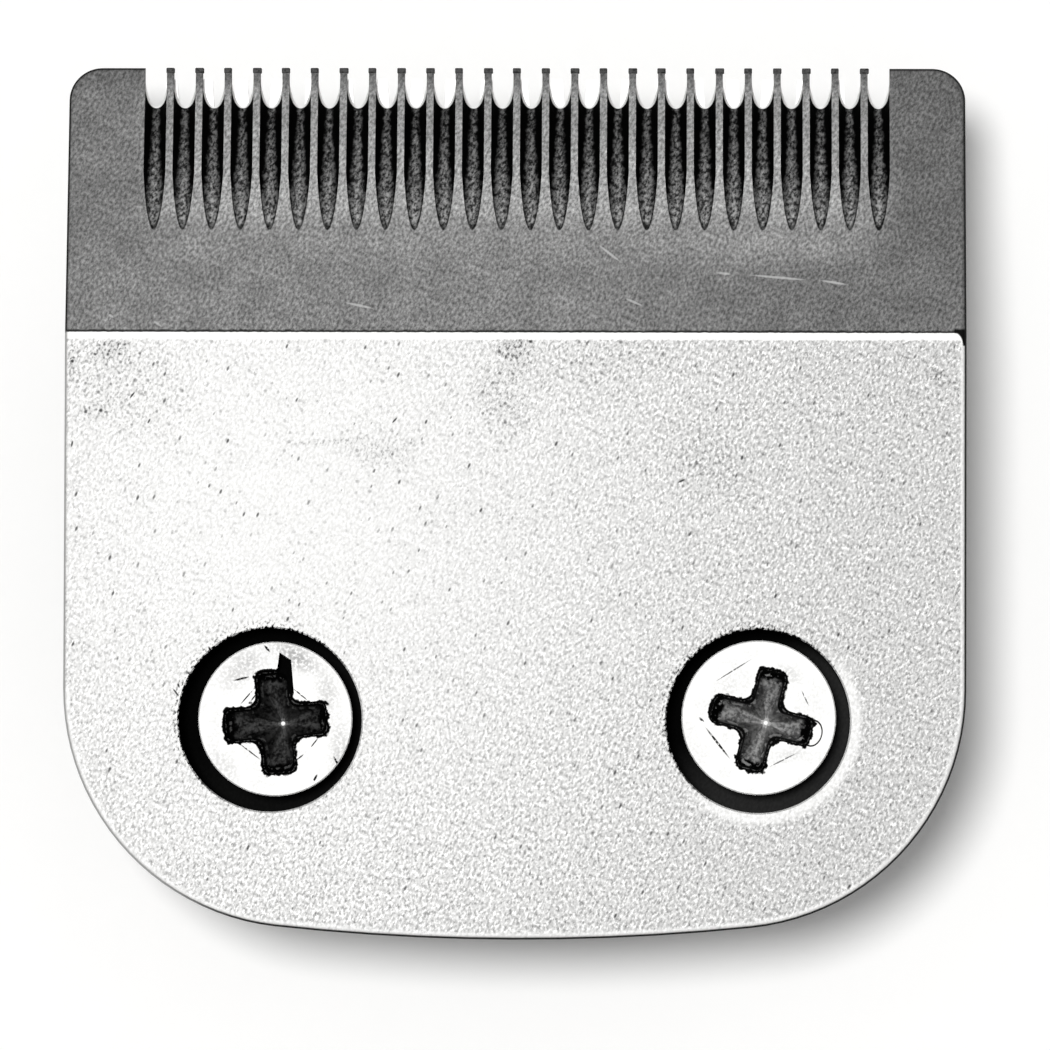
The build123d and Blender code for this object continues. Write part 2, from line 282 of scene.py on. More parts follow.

# Stains on the face, and one patch of painted shade: centre, radii, slope and strength
STAINS_AND_SHADE = (
    ((-19.8, 6.0), (5.4, 4.4), -20, 0.26),
    ((-20.2, 7.5), (1.7, 0.8), 15, 1.1),
    ((-21.0, 4.5), (1.5, 0.8), 20, 0.6),
    ((-22.1, 6.8), (0.35, 1.5), 0, 0.9),
    ((0.0, 8.0), (1.5, 2.6), 10, 1.0),
    ((-0.6, 5.2), (2.4, 3.2), 20, 0.36),
    ((3.5, 7.2), (7.0, 3.0), 0, 0.20),
    ((-8.9, 2.95), (3.6, 0.30), 3, 0.45),
    ((-6.6, 2.4), (2.6, 1.2), 0, 0.42),
    # painted shade: a darker patch right of the centre
    ((9.6, 2.2), (3.0, 3.2), 40, 0.26),
    ((21.2, 6.2), (0.7, 1.1), 60, 0.5),
)

# Dark nicks on the face: centre, half length and slope
FACE_NICKS = (
    (-16.85, -9.6, 0.3, -52),
    (-16.72, -9.25, 0.16, -70),
    (-22.1, 2.8, 0.2, 78),
    (-19.1, 5.24, 0.24, 52),
    (-18.26, 3.94, 0.18, 62),
    (-6.0, 4.0, 0.22, 48),
    (8.3, 1.0, 0.26, 25),
)


def face_tone(f):
    """Blasted and plated face: smooth and lighter on the left by a painted sheen, grainy on the right, with
    pits, stains and a patch of painted shade.
    """
    # painted sheen: the face is lighter on the left
    bright = f.blob(centre=(-13.0, 0.0), radii=(35.0, 41.0))
    smooth = f.blob(centre=(-11.0, 0.0), radii=(26.0, 22.0))
    tone = f.mix(bright, grey(FACE_DULL), grey(FACE_SHEEN))
    uneven = f.ramp(f.ragged, 0.34, 0.66, start=0.5, end=1.5)
    grain = f.both(f.centred(f.fine), uneven, f.mix(smooth, 1.0, SMOOTHED_GRAIN))
    tone = f.shade(tone, grain, -FACE_GRAIN)
    tone = f.shade(tone, f.centred(f.cloud), FACE_CLOUD)
    # stains and the patch of painted shade darken the face and gather pits
    stain_and_shade = 0.0
    for centre, radii, slope, strength in STAINS_AND_SHADE:
        stain_and_shade = f.math("MAXIMUM", stain_and_shade, f.blob(centre, radii, slope, strength))
    tone = f.shade(tone, stain_and_shade, STAIN_SHADE)
    tone = f.shade(tone, f.both(f.ramp(f.fine, 0.50, 0.28), stain_and_shade), STAIN_GRAIN)
    crowded = f.ramp(f.cloud, 0.40, 0.62, start=0.35)
    pitted = f.math("MULTIPLY_ADD", stain_and_shade, 1.8, f.math("MULTIPLY", crowded, 0.3))
    pits = f.specks(spacing=0.5, radius=0.14, share=0.8)
    tone = f.shade(tone, f.both(pits, f.math("MINIMUM", pitted, 1.0)), PIT_SHADE)
    ticks = f.specks(spacing=0.72, radius=0.09, share=0.7, where=f.stretched(TICK_STRETCH, GRAIN_TURN))
    tone = f.shade(tone, f.both(ticks, crowded), TICK_SHADE)
    return f.shade(tone, f.strokes(FACE_NICKS, NICK_HALF_WIDTH), NICK_SHADE)


# Ground bevel: its tones from the crease to the tooth tips, partly a painted reflection of its slope, and how
# far grain and marks change them
BEVEL_LEFT = 149
BEVEL_RIGHT = 133
BEVEL_AHEAD = 158
BEVEL_SHEEN = 162
LAND_SHARE = 0.86
TOOTH_ROOT = 179
TOOTH_MIDDLE = 164
TOOTH_TIP = 120
BEVEL_CLOUD = 0.5
BEVEL_GRAIN = 1.8
BEVEL_SPECK = 215
BEVEL_SPECK_STRENGTH = 0.6
BEVEL_STROKE = 205
BEVEL_STROKE_STRENGTH = 0.75
BEVEL_STROKE_HALF_WIDTH = 0.08

# Light scratches on the bevel: centre, half length and slope
BEVEL_STROKES = (
    (-17.85, 8.8, 0.3, -35),
    (-20.2, 9.2, 0.18, -30),
    (-7.8, 9.75, 0.9, -12),
    (5.9, 9.95, 0.55, -24),
    (4.7, 12.4, 0.9, -38),
    (10.4, 11.4, 0.45, -6),
    (13.1, 11.2, 1.7, -5),
    (15.9, 10.95, 0.8, -9),
)


def bevel_tone(f):
    """Ground bevel: dull grey grain, partly ground steel and partly a painted reflection of its slope,
    lighter towards the teeth, with light scratches and specks.
    """
    toothed = f.ramp(f.across, TOOTHED_HALF + 1.0, TOOTHED_HALF - 3.0)
    # painted reflection: part of the bevel's darker grey stands for the light its slope reflects
    tone = f.mix(f.ramp(f.x, 0.0, 17.0), grey(BEVEL_LEFT), grey(BEVEL_RIGHT))
    ahead = f.mix(toothed, f.math("MULTIPLY", tone, LAND_SHARE), grey(BEVEL_AHEAD))
    tone = f.mix(f.ramp(f.past, 2.6, 5.6), tone, ahead)
    tone = f.mix(f.blob(centre=(12.3, 13.0), radii=(9.0, 1.8)), tone, grey(BEVEL_SHEEN))
    tooth = f.mix(f.ramp(f.past, 8.0, 11.2), grey(TOOTH_ROOT), grey(TOOTH_MIDDLE))
    tone = f.mix(f.both(toothed, f.ramp(f.past, 5.0, 6.6)), tone, tooth)
    tone = f.mix(f.ramp(f.y, TIP_Y - 1.6, TIP_Y - 0.2), tone, grey(TOOTH_TIP))
    tone = f.shade(tone, f.centred(f.cloud), BEVEL_CLOUD)
    tone = f.shade(tone, f.centred(f.fine), -BEVEL_GRAIN)
    strokes = f.strokes(BEVEL_STROKES, BEVEL_STROKE_HALF_WIDTH)
    tone = f.mix(f.math("MULTIPLY", strokes, BEVEL_STROKE_STRENGTH), tone, grey(BEVEL_STROKE))
    return f.mix(f.ramp(f.fine, 0.80, 0.90, end=BEVEL_SPECK_STRENGTH), tone, grey(BEVEL_SPECK))


# Grooves: tones of the floor's flecks at the closed end and at the gap, where painted shade darkens them, and
# of the walls and edges: painted shade on the walls and a painted highlight on the broken edge
FLECKS_DARK = (68, 20)
FLECKS_LIGHT = (192, 124)
GROOVE_SPECK = 205
GROOVE_SPECK_STRENGTH = 0.7
GROOVE_SIDE_SHADE = 0.45
GROOVE_WALL_SHADE = 9
GROOVE_LIP_HIGHLIGHT = 250


def groove_tone(f):
    """Ground groove: walls blackened by painted shade that widens towards the gap, a flecked floor that
    painted shade darkens towards the gap and on its sloping sides, and a painted highlight on the broken
    edge.
    """
    # painted shade: the floor's flecks darken towards the gap
    near_gap = f.ramp(f.y, TIP_Y - 8.4, TIP_Y - 2.2)
    dark = f.mix(near_gap, *map(grey, FLECKS_DARK))
    light = f.mix(near_gap, *map(grey, FLECKS_LIGHT))
    flecks = f.math("MULTIPLY_ADD", f.ragged, 0.4, f.math("MULTIPLY", f.fine, 0.6))
    floor = f.mix(f.ramp(flecks, 0.36, 0.66), dark, light)
    floor = f.mix(f.ramp(f.fine, 0.70, 0.82, end=GROOVE_SPECK_STRENGTH), floor, grey(GROOVE_SPECK))
    sideways = f.math("ABSOLUTE", f.slant_x)
    # painted shade: the floor's sloping sides are darker
    floor = f.shade(floor, f.ramp(sideways, 0.05, 0.5), GROOVE_SIDE_SHADE)
    # painted shade: steep walls and the groove's upper edges are black
    wall_starts = f.math("MULTIPLY_ADD", f.ragged, 0.5, f.mix(near_gap, 0.32, -0.10))
    steepness = f.math("SUBTRACT", sideways, wall_starts)
    upper_edge_shade = f.ramp(f.depth, 0.06, 0.02, end=0.75)
    wall = f.math("MAXIMUM", f.ramp(steepness, -0.05, 0.25), upper_edge_shade)
    tone = f.mix(wall, floor, grey(GROOVE_WALL_SHADE))

    # The rise above the back, divided by the slope, is the distance in plan from the broken edge.
    # A number a little over 1 keeps the slope of a level floor above 0.
    over_one = 1.0001
    rise = f.math("SUBTRACT", f.z, BACK_Z)
    level_part = f.math("SQRT", f.math("SUBTRACT", over_one, f.both(f.slant_z, f.slant_z)))
    inset = f.math("MULTIPLY", rise, f.math("DIVIDE", f.slant_z, level_part))
    # painted highlight: a thin white line along the broken edge
    lip_highlight = f.both(f.ramp(inset, 0.10, 0.07), f.ramp(rise, 0.13, 0.08))
    return f.mix(lip_highlight, tone, grey(GROOVE_LIP_HIGHLIGHT))


# Counterbores: tones of the painted shade in the hollows of the left and the right one and in their more
# shaded part, of the halo of painted highlight, and of their edges
HOLLOW_SHADE_LEFT = 22
HOLLOW_SHADE_RIGHT = 50
HOLLOW_SHADED = 9
HALO_HIGHLIGHT = 249
HALO_HIGHLIGHT_STRENGTH = 0.8
BORE_BURR = 20
DUST_SHADE = 0.8


def bore_tone(f, tone):
    """Counterbores: hollows darkened by painted shade, darkest at their upper left, frayed at their upper
    left, and a halo of painted highlight round the right one.
    """
    upper_left = f.math("DIVIDE", f.math("SUBTRACT", f.bore_y, f.bore_x), f.bore_reach)
    on_right = f.math("GREATER_THAN", f.x, 0.0)
    # painted highlight: a white halo on the lower right of the right counterbore's rim
    halo = f.ramp(f.bore_reach, BORE_RADIUS + 0.85, BORE_RADIUS + 0.35, end=HALO_HIGHLIGHT_STRENGTH)
    tone = f.mix(f.both(halo, f.ramp(upper_left, 0.2, -0.6), on_right), tone, grey(HALO_HIGHLIGHT))
    frayed = f.wavy(f.wavy(f.bore_reach, f.ragged, 0.3), f.fine, 0.4)
    burr = f.ramp(frayed, BORE_RADIUS + 0.08, BORE_RADIUS + 0.02)
    tone = f.mix(f.both(burr, f.ramp(upper_left, -0.8, 0.4)), tone, grey(BORE_BURR))
    dust = f.both(f.ramp(f.fine, 0.46, 0.34), f.ramp(f.bore_reach, BORE_RADIUS + 0.6, BORE_RADIUS))
    tone = f.shade(tone, f.both(dust, f.ramp(upper_left, 0.1, 1.1)), DUST_SHADE)
    # painted shade: the hollows are dark, darkest at their upper left
    hollow = f.mix(on_right, grey(HOLLOW_SHADE_LEFT), grey(HOLLOW_SHADE_RIGHT))
    hollow = f.mix(f.ramp(upper_left, -0.6, 0.8), hollow, grey(HOLLOW_SHADED))
    inside = f.ramp(f.bore_reach, BORE_RADIUS + 0.03, BORE_RADIUS + 0.005)
    return f.mix(f.both(inside, f.ramp(f.depth, 0.01, 0.04)), tone, hollow)


# Edges, sides and back of the comb: tones, with painted highlights along the crease and rims and painted
# light and shade on the rounded edges, and the size of the painted shade in the corner at the crease's right
# end
CREASE_HIGHLIGHT = 252
CREASE_DARK = 62
RIM_HIGHLIGHT = 250
RIM_HIGHLIGHT_STRENGTH = 0.75
CORNER_SHADE = 26
CORNER_SIZE = 0.62
CORNER_RADII = (0.42, CORNER_SIZE)
EDGE_SHADE = 44
EDGE_LIT = 196
SIDE_TONES = (112, 138)
BACK_TONES = (128, 160)
BACK_GRAIN = 0.8


def edge_distance(f):
    """Distance in plan from the comb's rear edge and its round corners."""
    corner_x = HALF_WIDTH - CORNER_RADIUS
    rear_centre_y = REAR_Y + REAR_RADIUS
    corner_y = rear_centre_y - math.sqrt((REAR_RADIUS - CORNER_RADIUS) ** 2 - corner_x**2)
    folded = f.joined(f.across, f.y)
    to_corner = f.vector("DISTANCE", folded, (corner_x, corner_y, 0.0))
    to_rear_centre = f.vector("DISTANCE", f.flat, (0.0, rear_centre_y, 0.0))
    beyond = f.both(f.math("GREATER_THAN", f.across, corner_x), f.math("LESS_THAN", f.y, corner_y))
    from_rear = f.math("SUBTRACT", REAR_RADIUS, to_rear_centre)
    from_corner = f.math("SUBTRACT", CORNER_RADIUS, to_corner)
    return f.mix(beyond, from_rear, from_corner)


def skin_tone(f):
    """Face with rims of painted highlight, and bevel, with a white line of painted highlight and a dark line
    where they meet, and painted shade in the corner at the crease's right end.
    """
    face = face_tone(f)
    # painted highlight: a white line on the face along the crease
    face = f.mix(f.ramp(f.wavy(f.past, f.ragged, 0.22), -0.42, -0.32), face, grey(CREASE_HIGHLIGHT))
    # painted highlight: white rims along the rear and right edges
    rear_rim = f.ramp(edge_distance(f), 0.42, 0.20)
    right_rim = f.ramp(f.math("SUBTRACT", HALF_WIDTH, f.x), 0.36, 0.24)
    rim = f.math("MULTIPLY", f.math("MAXIMUM", rear_rim, right_rim), RIM_HIGHLIGHT_STRENGTH)
    face = f.mix(rim, face, grey(RIM_HIGHLIGHT))
    bevel = bevel_tone(f)
    bevel = f.mix(f.ramp(f.wavy(f.past, f.ragged, 0.16), 0.16, 0.06), bevel, grey(CREASE_DARK))
    skin = f.mix(f.ramp(f.wavy(f.past, f.ragged, 0.07), -0.015, 0.015), face, bevel)

    # painted shade: a dark corner where the crease meets the right edge
    corner_x = HALF_WIDTH - CORNER_SIZE
    oval = f.stretched(CORNER_RADII, centre=(corner_x, CREASE_Y - CORNER_SIZE))
    outside_oval = f.ramp(f.vector("LENGTH", oval), 0.95, 1.1)
    at_crease = f.both(f.ramp(f.past, -0.66, -0.60), f.ramp(f.past, 0.30, 0.12))
    corner = f.both(f.math("GREATER_THAN", f.x, corner_x), at_crease, outside_oval)
    return f.mix(corner, skin, grey(CORNER_SHADE))


def comb_finish():
    """Comb plate: plated face, ground bevel, grooves and counterbores with painted shade, and edges with
    painted light and shade.
    """
    f = CombFinish("comb_steel")
    # painted light and shade: the rounded edges are pale where they face left, and dark elsewhere
    lit_edge = f.both(f.ramp(f.slant_x, -0.2, -0.5), f.ramp(f.past, 0.1, -0.1))
    edge = f.mix(lit_edge, grey(EDGE_SHADE), grey(EDGE_LIT))
    off_bores = f.math("GREATER_THAN", f.bore_reach, BORE_RADIUS + 0.3)
    tone = f.mix(f.both(f.ramp(f.slant_z, 0.91, 0.70), off_bores), skin_tone(f), edge)
    side = f.mix(f.ramp(f.ragged, 0.3, 0.7), *map(grey, SIDE_TONES))
    tone = f.mix(f.ramp(f.slant_z, 0.25, 0.05), tone, side)
    toothed = f.math("LESS_THAN", f.across, TOOTHED_HALF)
    in_groove = f.both(f.ramp(f.depth, 0.004, 0.014), toothed, f.math("GREATER_THAN", f.past, GROOVE_START))
    off_tips = f.ramp(f.slant_y, 0.5, 0.35)
    tone = f.mix(f.both(in_groove, off_tips), tone, groove_tone(f))
    tone = bore_tone(f, tone)
    back = f.shade(f.mix(f.cloud, *map(grey, BACK_TONES)), f.centred(f.fine), -BACK_GRAIN)
    tone = f.mix(f.ramp(f.slant_z, -0.4, -0.8), tone, back)
    return f.finish(tone, NEUTRAL, 1.0, f.ramp(f.fine, 0.2, 0.8, start=0.80, end=0.72))


class ScrewMarks(NamedTuple):
    """Marks on one screw head, placed from its centre.

    A hairline or a dash is a centre, half length and slope. A stain is a centre, radii, slope and strength.
    """

    recess_shift: tuple
    recess_turn: float
    arm_width: float
    point: tuple
    floor_tones: tuple
    glint: float
    hairline_tone: int
    hairlines: tuple
    dashes: tuple
    stains: tuple
    slip_centre: tuple = None
    slip_radii: tuple = None


LEFT_MARKS = ScrewMarks(
    recess_shift=(0.02, -0.17),
    recess_turn=5.0,
    arm_width=1.76,
    point=(0.27, -0.20),
    floor_tones=(32, 114),
    glint=0.15,
    hairline_tone=60,
    hairlines=(
        (-1.43, 1.08, 0.58, 49),
        (-1.11, 1.03, 0.42, 54),
        (1.25, 1.22, 0.56, -39),
        (-1.26, -1.63, 0.78, -37),
        (1.22, -1.92, 0.32, 37),
        (1.95, -1.19, 0.36, 52),
    ),
    dashes=(
        (-1.69, 2.0, 0.48, 14),
        (-0.42, 3.5, 0.26, -49),
        (3.06, -2.12, 0.36, -61),
        (2.0, -2.95, 0.28, 62),
    ),
    stains=(
        (-1.6, 2.6, (2.2, 1.2), 40, 0.22),
        (1.0, 3.1, (2.0, 0.9), -30, 0.42),
        (2.6, 1.4, (0.9, 1.6), 20, 0.20),
        (3.2, -1.3, (0.8, 2.2), 0, 0.20),
        (-2.6, -2.3, (0.8, 1.6), 40, 0.14),
    ),
)
RIGHT_MARKS = ScrewMarks(
    recess_shift=(0.14, -0.11),
    recess_turn=-14.5,
    arm_width=1.54,
    point=(0.37, -0.22),
    floor_tones=(122, 214),
    glint=0.5,
    hairline_tone=138,
    hairlines=(
        (-1.28, 2.35, 1.25, 32),
        (1.2, -2.1, 0.9, 27),
        (2.3, 1.0, 0.5, -65),
        (1.0, 2.3, 0.5, -35),
    ),
    dashes=(
        (-2.85, -0.1, 0.2, -40),
        (-2.05, -1.25, 1.15, -52),
        (-0.85, -2.05, 0.2, 20),
    ),
    stains=(
        (-1.5, 1.6, (1.2, 0.8), 30, 0.10),
        (1.5, 2.2, (1.0, 0.5), -40, 0.14),
        (1.6, -1.9, (1.3, 0.5), 25, 0.12),
    ),
    slip_centre=(2.66, -0.76),
    slip_radii=(0.5, 0.67),
)

# Cross recess: its span, and the blends at its inner corners and at its arm ends
RECESS_SPAN = 5.2
RECESS_WEB = 1.05
RECESS_END = 0.7


class ScrewFinish(Finish):
    """Material of one screw, with its noise and the distances that place its marks."""

    def __init__(self, name, marks):
        super().__init__(name + "_steel")
        low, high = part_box(name)
        self.centre = (low + high) / 2 / MM
        self.marks = marks
        self.fine = self.noise(0.15)
        self.coarse = self.noise(0.32)
        self.depth = self.math("SUBTRACT", high.z / MM, self.z)
        self.on_head = self.ramp(self.depth, 0.14, 0.11)
        self.reach = self.vector("DISTANCE", self.flat, (*self.at(0.0, 0.0), 0.0))
        point_x, point_y = self.at(*marks.point)
        self.from_point = self.vector("DISTANCE", self.flat, (point_x, point_y, 0.0))
        aside = self.math("SUBTRACT", self.x, point_x)
        ahead = self.math("SUBTRACT", self.y, point_y)
        self.angle = self.math("ARCTAN2", ahead, aside)
        self.place_recess()

    def at(self, x, y):
        """A place in plan, given from the head's centre."""
        return self.centre.x + x, self.centre.y + y

    def place_recess(self):
        """Distances from the axes of the cross recess and from its outline."""
        marks = self.marks
        turned = self.stretched((1.0, 1.0), math.radians(marks.recess_turn), self.at(*marks.recess_shift))
        side_x, side_y, _ = self.split(self.vector("ABSOLUTE", turned))
        arms = []
        for far, near in ((side_x, side_y), (side_y, side_x)):
            past_end = self.math("SUBTRACT", far, RECESS_SPAN / 2)
            past_side = self.math("SUBTRACT", near, marks.arm_width / 2)
            arms.append(self.math("SMOOTH_MAX", past_end, past_side, RECESS_END))
        self.off_axis = self.math("MINIMUM", side_x, side_y)
        self.along_arm = self.math("MAXIMUM", side_x, side_y)
        self.outside = self.math("SMOOTH_MIN", *arms, RECESS_WEB)


# Screws: tones of head, recess and shank, with painted shade in the recess, on the head's side and in the
# thread and painted highlights on the head's chamfer and the recess point, and the sizes of marks
HEAD_TONES = (246, 252)
HEAD_SIDE_SHADE = 60
HEAD_RIM_HIGHLIGHT = 250
HAIRLINE_HALF_WIDTH = 0.045
DASH_HALF_WIDTH = 0.075
DASH_TONE = 25
ARM_END_SHADE = 10
SCRATCH_INSET = 0.27
SCRATCH_LIFT = 30
SCRATCH_STRENGTH = 0.55
GLINT_TONE = 190
POINT_HIGHLIGHT = 250
SCUFF_DEPTH = 0.42
RECESS_WALL_SHADE = 9
RECESS_SCUFF = 150
RECESS_BURR = 14
SLIP_TONE = 18
SLIP_REACH = 0.96
SHADED_THREAD_TONES = (96, 182)
THREAD_PITCH = 0.7


def head_tone(f):
    """White plated head with stains, hairlines and dashes."""
    marks = f.marks
    tone = f.mix(f.ramp(f.noise(1.2, detail=3.0), 0.3, 0.6), *map(grey, HEAD_TONES))
    for x, y, radii, slope, strength in marks.stains:
        stain = f.blob(f.at(x, y), radii, slope)
        tone = f.shade(tone, f.both(stain, f.ramp(f.fine, 0.2, 0.6)), strength)
    for lines, half_width, level in (
        (marks.hairlines, HAIRLINE_HALF_WIDTH, marks.hairline_tone),
        (marks.dashes, DASH_HALF_WIDTH, DASH_TONE),
    ):
        placed = [(*f.at(x, y), half_length, slope) for x, y, half_length, slope in lines]
        tone = f.mix(f.both(f.strokes(placed, half_width), f.ramp(f.fine, 0.2, 0.45)), tone, grey(level))
    return tone


def recess_floor_tone(f):
    """Floor of the recess: streaks that run to its point, flanks and arm ends darkened by painted shade,
    scratches and a painted glint.
    """
    low, high = f.marks.floor_tones
    streaks = f.noise(0.25, where=f.joined(f.angle, f.math("MULTIPLY", f.from_point, 0.4)))
    grit = f.math("ADD", f.math("MULTIPLY", streaks, 0.5), f.math("MULTIPLY", f.fine, 0.5))
    floor = f.mix(f.ramp(grit, 0.34, 0.66), grey(low), grey(high))
    # painted shade: the floor is darker where it slopes, away from each arm's axis and at the arm ends
    floor = f.shade(floor, f.ramp(f.slant_z, 0.8, 0.5), 0.35)
    floor = f.shade(floor, f.ramp(f.off_axis, 0.12, 0.62), 0.55)
    floor = f.mix(f.ramp(f.wavy(f.along_arm, f.coarse, 0.5), 1.95, 2.15), floor, grey(ARM_END_SHADE))
    off_scratch = f.math("ABSOLUTE", f.math("ADD", f.wavy(f.outside, f.coarse, 0.16), SCRATCH_INSET))
    scratch = f.both(f.ramp(off_scratch, 0.08, 0.02, end=SCRATCH_STRENGTH), f.ramp(f.coarse, 0.50, 0.60))
    floor = f.mix(scratch, floor, grey(high + SCRATCH_LIFT))
    return f.mix(f.ramp(f.from_point, 1.0, 0.1, end=f.marks.glint), floor, grey(GLINT_TONE))


def recess_tone(f, tone):
    """Cross recess with walls blackened by painted shade and scuffed, a painted highlight at its point, a
    dark burr round it, and the slip mark.
    """
    off_band = f.math("ABSOLUTE", f.math("SUBTRACT", f.depth, SCUFF_DEPTH))
    scuffs = f.both(f.ramp(off_band, 0.14, 0.04), f.ramp(f.fine, 0.48, 0.6))
    # painted shade: the recess walls are black, with scuffs
    wall = f.mix(scuffs, grey(RECESS_WALL_SHADE), grey(RECESS_SCUFF))
    hollow = f.mix(f.ramp(f.depth, 0.80, 0.93), wall, recess_floor_tone(f))
    # painted highlight: a white dot at the recess point
    hollow = f.mix(f.ramp(f.from_point, 0.13, 0.08), hollow, grey(POINT_HIGHLIGHT))
    burr = f.math("SUBTRACT", f.wavy(f.outside, f.coarse, 0.34), f.ramp(f.along_arm, 1.5, 2.5, end=0.05))
    tone = f.mix(f.ramp(burr, 0.04, -0.02), tone, grey(RECESS_BURR))
    shallow = f.both(f.on_head, f.ramp(f.slant_z, 0.6, 0.8))
    tone = f.mix(f.both(f.ramp(f.depth, 0.01, 0.04), f.inverse(shallow)), tone, hollow)
    if f.marks.slip_centre is None:
        return tone
    slip_turn = math.radians(f.marks.recess_turn)
    oval = f.vector("LENGTH", f.stretched(f.marks.slip_radii, slip_turn, f.at(*f.marks.slip_centre)))
    outline = f.ramp(f.math("ABSOLUTE", f.math("SUBTRACT", oval, SLIP_REACH)), 0.08, 0.04)
    return f.mix(f.both(outline, f.on_head), tone, grey(SLIP_TONE))


def screw_finish(name, marks):
    """Plated screw: white head with driver marks and a rim of painted highlight and shade, a cross recess
    with painted shade, and a threaded shank with painted shade in its thread.
    """
    f = ScrewFinish(name, marks)
    tone = recess_tone(f, head_tone(f))
    # painted light and shade: the head's steep side is dark and its chamfer white
    rim = f.mix(f.ramp(f.slant_z, 0.3, 0.6), grey(HEAD_SIDE_SHADE), grey(HEAD_RIM_HIGHLIGHT))
    tone = f.mix(f.both(f.ramp(f.reach, 3.70, 3.76), f.ramp(f.depth, 0.004, 0.02)), tone, rim)
    # painted shade: the thread's grooves are darker than its crests
    turns = f.math("ADD", f.math("DIVIDE", f.z, THREAD_PITCH), f.math("DIVIDE", f.angle, 2 * math.pi))
    thread = f.math("PINGPONG", turns, 0.5)
    shank = f.mix(f.math("MULTIPLY", thread, 2.0), *map(grey, SHADED_THREAD_TONES))
    on_shank = f.ramp(f.depth, 2.45, 2.6)
    tone = f.mix(on_shank, tone, shank)
    f.bump(f.math("ADD", f.math("MULTIPLY", f.fine, 0.03), f.both(thread, on_shank)), depth=0.2)
    return f.finish(tone, NEUTRAL, 1.0, f.ramp(f.fine, 0.2, 0.8, start=0.72, end=0.80))


# Cutter, sheet steel, nylon and burrs: their tones
CUTTER_TONES = (248, 254)
CUTTER_BACK_TONES = (176, 208)
SPRING_TONE = 176
SOCKET_TONE = 204
SHEET_DARKER = 14
SHEET_LIGHTER = 12
NYLON_TONES = (212, 238)
NYLON_TINT = (1.0, 0.975, 0.91)
BURR_TONES = (44, 96)


def cutter_finish():
    """Cutter: ground bright, with fine grinding lines along its length and a duller back."""
    f = Finish("cutter_steel")
    lines = f.noise(0.12, where=f.stretched((30.0, 1.0)))
    cloud = f.noise(2.5, detail=3.0, solid=True)
    tone = f.mix(f.ramp(lines, 0.3, 0.7), *map(grey, CUTTER_TONES))
    back = f.mix(f.ramp(lines, 0.3, 0.7), *map(grey, CUTTER_BACK_TONES))
    back = f.shade(back, f.ramp(cloud, 0.4, 0.8), 0.2)
    tone = f.mix(f.ramp(f.slant_z, -0.2, -0.6), tone, back)
    f.bump(lines, depth=0.005)
    return f.finish(tone, NEUTRAL, 1.0, f.ramp(cloud, 0.2, 0.8, start=0.60, end=0.68))


def sheet_finish(name, level, rough, lengths):
    """Rolled sheet steel: lines along the rolling direction, stains, and a scatter of pits."""
    f = Finish(name)
    lines = f.noise(0.16, where=f.stretched(lengths))
    cloud = f.noise(3.0, detail=3.0, solid=True)
    tone = f.mix(f.ramp(lines, 0.3, 0.7), grey(level - SHEET_DARKER), grey(level + SHEET_LIGHTER))
    tone = f.shade(tone, f.ramp(cloud, 0.35, 0.75), 0.16)
    pits = f.ramp(f.noise(0.22, solid=True), 0.60, 0.72)
    tone = f.shade(tone, pits, 0.22)
    f.bump(lines, depth=0.005)
    return f.finish(tone, NEUTRAL, 1.0, f.ramp(cloud, 0.2, 0.8, start=rough - 0.05, end=rough + 0.08))


def nylon_finish():
    """Moulded nylon: cream, finely textured."""
    f = Finish("guide_nylon")
    fine = f.noise(0.18, solid=True)
    tone = f.mix(f.noise(1.8, detail=3.0, solid=True), *map(grey, NYLON_TONES))
    f.bump(fine, depth=0.01)
    return f.finish(tone, NYLON_TINT, 0.0, f.ramp(fine, 0.3, 0.7, start=0.42, end=0.55))


def burr_finish():
    """Dark burrs on the tooth tips."""
    f = Finish("burr_steel")
    fine = f.noise(0.12, solid=True)
    tone = f.mix(f.ramp(fine, 0.3, 0.7), *map(grey, BURR_TONES))
    return f.finish(tone, NEUTRAL, 1.0, f.ramp(fine, 0.3, 0.7, start=0.6, end=0.75))


FINISHES = {
    "comb_blade": comb_finish(),
    "cutter_blade": cutter_finish(),
    "blade_guide": nylon_finish(),
    "tension_spring": sheet_finish("spring_steel", SPRING_TONE, rough=0.42, lengths=(1.0, 25.0)),
    "socket": sheet_finish("socket_steel", SOCKET_TONE, rough=0.5, lengths=(25.0, 1.0)),
    "screw_left": screw_finish("screw_left", LEFT_MARKS),
    "screw_right": screw_finish("screw_right", RIGHT_MARKS),
}
for name, material in FINISHES.items():
    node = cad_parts[name]
    node.data.materials.clear()
    node.data.materials.append(material)

# Burrs on the tooth tips: their size, and the wave by which they differ from tooth to tooth
BURR_WIDTH = 0.42
BURR_LENGTH = 0.27
BURR_HEIGHT = 0.34
BURR_OVERLAP = 0.07
BURR_ROUNDING = 0.05
BURR_WAVE = 2.4
BURR_SHIFT = 0.015
BURR_SWELL = 0.08


